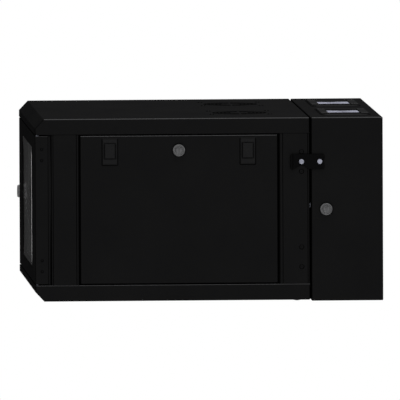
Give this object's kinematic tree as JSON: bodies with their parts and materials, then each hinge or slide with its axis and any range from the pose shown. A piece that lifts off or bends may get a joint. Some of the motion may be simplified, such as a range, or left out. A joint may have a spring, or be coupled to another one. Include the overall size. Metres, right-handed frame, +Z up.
{
  "type": "wall mount network cabinet",
  "caption": "Black sheet steel wall cabinet in two hinged sections, with a glass front door, lockable side panels, roof fans, rack rails and brushed cable entries.",
  "frame": {"origin": "middle of the four wall bolts, on the wall", "axes": "+X to the cabinet's right seen from the front, +Y into the wall, +Z up"},
  "size_m": [0.6175, 0.6305, 0.3356],
  "materials": {
    "black_paint": "fine textured black powder coat",
    "black_plastic": "moulded black plastic",
    "black_steel": "black screws",
    "black_rubber": "extruded gasket",
    "zinc": "bright zinc plate",
    "chrome": "satin nickel and chrome lock faces",
    "copper": "copper plated stud",
    "tinted_glass": "tempered glass, lightly tinted",
    "brush_nylon": "pale nylon bristles"
  },
  "bodies": {
    "rear": {"rear_shell": "black_paint", "cable_entries_top": "black_plastic", "cable_entries_bottom": "black_plastic", "cable_brushes_top": "brush_nylon", "cable_brushes_bottom": "brush_nylon", "hinge_leaves_rear": "black_paint", "swing_hinge_pins": "zinc", "side_screws_rear": "zinc", "rear_lock_housing": "chrome", "rear_lock_nut": "zinc"},
    "rear_lock": {"rear_lock_plug": "chrome", "rear_lock_cam": "zinc"},
    "main": {"roof_cover": "black_paint", "floor_cover": "black_paint", "front_post_right": "black_paint", "front_post_left": "black_paint", "rear_post_right": "black_paint", "rear_post_left": "black_paint", "upper_channels": "black_paint", "lower_channels": "black_paint", "front_rack_rails": "black_paint", "rear_rack_rails": "black_paint", "transit_bracket": "black_paint", "side_screws_main": "zinc", "strike": "zinc", "hole_plugs": "black_plastic", "earth_stud": "copper", "earth_nut": "zinc", "fan_housing_right": "black_plastic", "fan_housing_left": "black_plastic", "fan_screws": "black_steel", "hinge_leaves_main": "black_paint"},
    "fan_right": {"fan_rotor_right": "black_plastic"},
    "fan_left": {"fan_rotor_left": "black_plastic"},
    "door": {"door_frame": "black_paint", "door_glass": "tinted_glass", "door_gasket": "black_rubber", "pin_brackets": "black_paint", "door_lock_housing": "chrome", "door_lock_nut": "zinc"},
    "door_lock": {"door_lock_plug": "chrome", "door_lock_cam": "zinc"},
    "hinge_pin_upper": {"hinge_pin_upper": "zinc"},
    "hinge_pin_lower": {"hinge_pin_lower": "zinc"},
    "side_panel_right": {"side_panel_right": "black_paint", "latch_bezels_right": "black_plastic", "side_lock_housing_right": "chrome", "side_lock_nut_right": "zinc"},
    "side_lock_right": {"side_lock_plug_right": "chrome", "side_lock_cam_right": "zinc"},
    "latch_front_right": {"latch_slider_front_right": "black_plastic"},
    "latch_rear_right": {"latch_slider_rear_right": "black_plastic"},
    "side_panel_left": {"side_panel_left": "black_paint", "latch_bezels_left": "black_plastic", "side_lock_housing_left": "chrome", "side_lock_nut_left": "zinc"},
    "side_lock_left": {"side_lock_plug_left": "chrome", "side_lock_cam_left": "zinc"},
    "latch_front_left": {"latch_slider_front_left": "black_plastic"},
    "latch_rear_left": {"latch_slider_rear_left": "black_plastic"}
  },
  "joints": [
    {"name": "main_swing", "type": "hinge", "parent": "rear", "child": "main", "pos_m": [-0.306, -0.13035, 0], "axis": [0, 0, -1], "range_deg": [0, 90]},
    {"name": "rear_lock_turn", "type": "hinge", "parent": "rear", "child": "rear_lock", "pos_m": [0.3, -0.1022, 0], "axis": [-1, 0, 0], "range_deg": [0, 90]},
    {"name": "door_hinge", "type": "hinge", "parent": "main", "child": "door", "pos_m": [0.292, -0.6207, 0.001], "axis": [0, 0, 1], "range_deg": [0, 180]},
    {"name": "door_lock_turn", "type": "hinge", "parent": "door", "child": "door_lock", "pos_m": [-0.277, -0.6255, 0.001], "axis": [0, -1, 0], "range_deg": [0, 90]},
    {"name": "hinge_pin_upper_slide", "type": "slide", "parent": "door", "child": "hinge_pin_upper", "axis": [0, 0, -1], "range_m": [0, 0.006], "stiffness_N_per_m": 300, "springref_m": -0.005},
    {"name": "hinge_pin_lower_slide", "type": "slide", "parent": "door", "child": "hinge_pin_lower", "axis": [0, 0, 1], "range_m": [0, 0.006], "stiffness_N_per_m": 300, "springref_m": -0.005},
    {"name": "fan_right_spin", "type": "hinge", "parent": "main", "child": "fan_right", "pos_m": [0.1375, -0.2487, 0.15], "axis": [0, 0, 1], "continuous": true},
    {"name": "side_panel_right_tilt", "type": "hinge", "parent": "main", "child": "side_panel_right", "pos_m": [0.299, -0.3669, -0.1325], "axis": [0, 1, 0], "range_deg": [0, 25]},
    {"name": "side_lock_right_turn", "type": "hinge", "parent": "side_panel_right", "child": "side_lock_right", "pos_m": [0.299, -0.3669, 0.1076], "axis": [-1, 0, 0], "range_deg": [0, 90]},
    {"name": "latch_front_right_slide", "type": "slide", "parent": "side_panel_right", "child": "latch_front_right", "axis": [0, 0, 1], "range_m": [0, 0.005]},
    {"name": "latch_rear_right_slide", "type": "slide", "parent": "side_panel_right", "child": "latch_rear_right", "axis": [0, 0, 1], "range_m": [0, 0.005]},
    {"name": "fan_left_spin", "type": "hinge", "parent": "main", "child": "fan_left", "pos_m": [-0.1375, -0.2487, 0.15], "axis": [0, 0, 1], "continuous": true},
    {"name": "side_panel_left_tilt", "type": "hinge", "parent": "main", "child": "side_panel_left", "pos_m": [-0.299, -0.3669, -0.1325], "axis": [0, -1, 0], "range_deg": [0, 25]},
    {"name": "side_lock_left_turn", "type": "hinge", "parent": "side_panel_left", "child": "side_lock_left", "pos_m": [-0.299, -0.3669, 0.1076], "axis": [-1, 0, 0], "range_deg": [0, 90]},
    {"name": "latch_front_left_slide", "type": "slide", "parent": "side_panel_left", "child": "latch_front_left", "axis": [0, 0, 1], "range_m": [0, 0.005]},
    {"name": "latch_rear_left_slide", "type": "slide", "parent": "side_panel_left", "child": "latch_rear_left", "axis": [0, 0, 1], "range_m": [0, 0.005]}
  ]
}
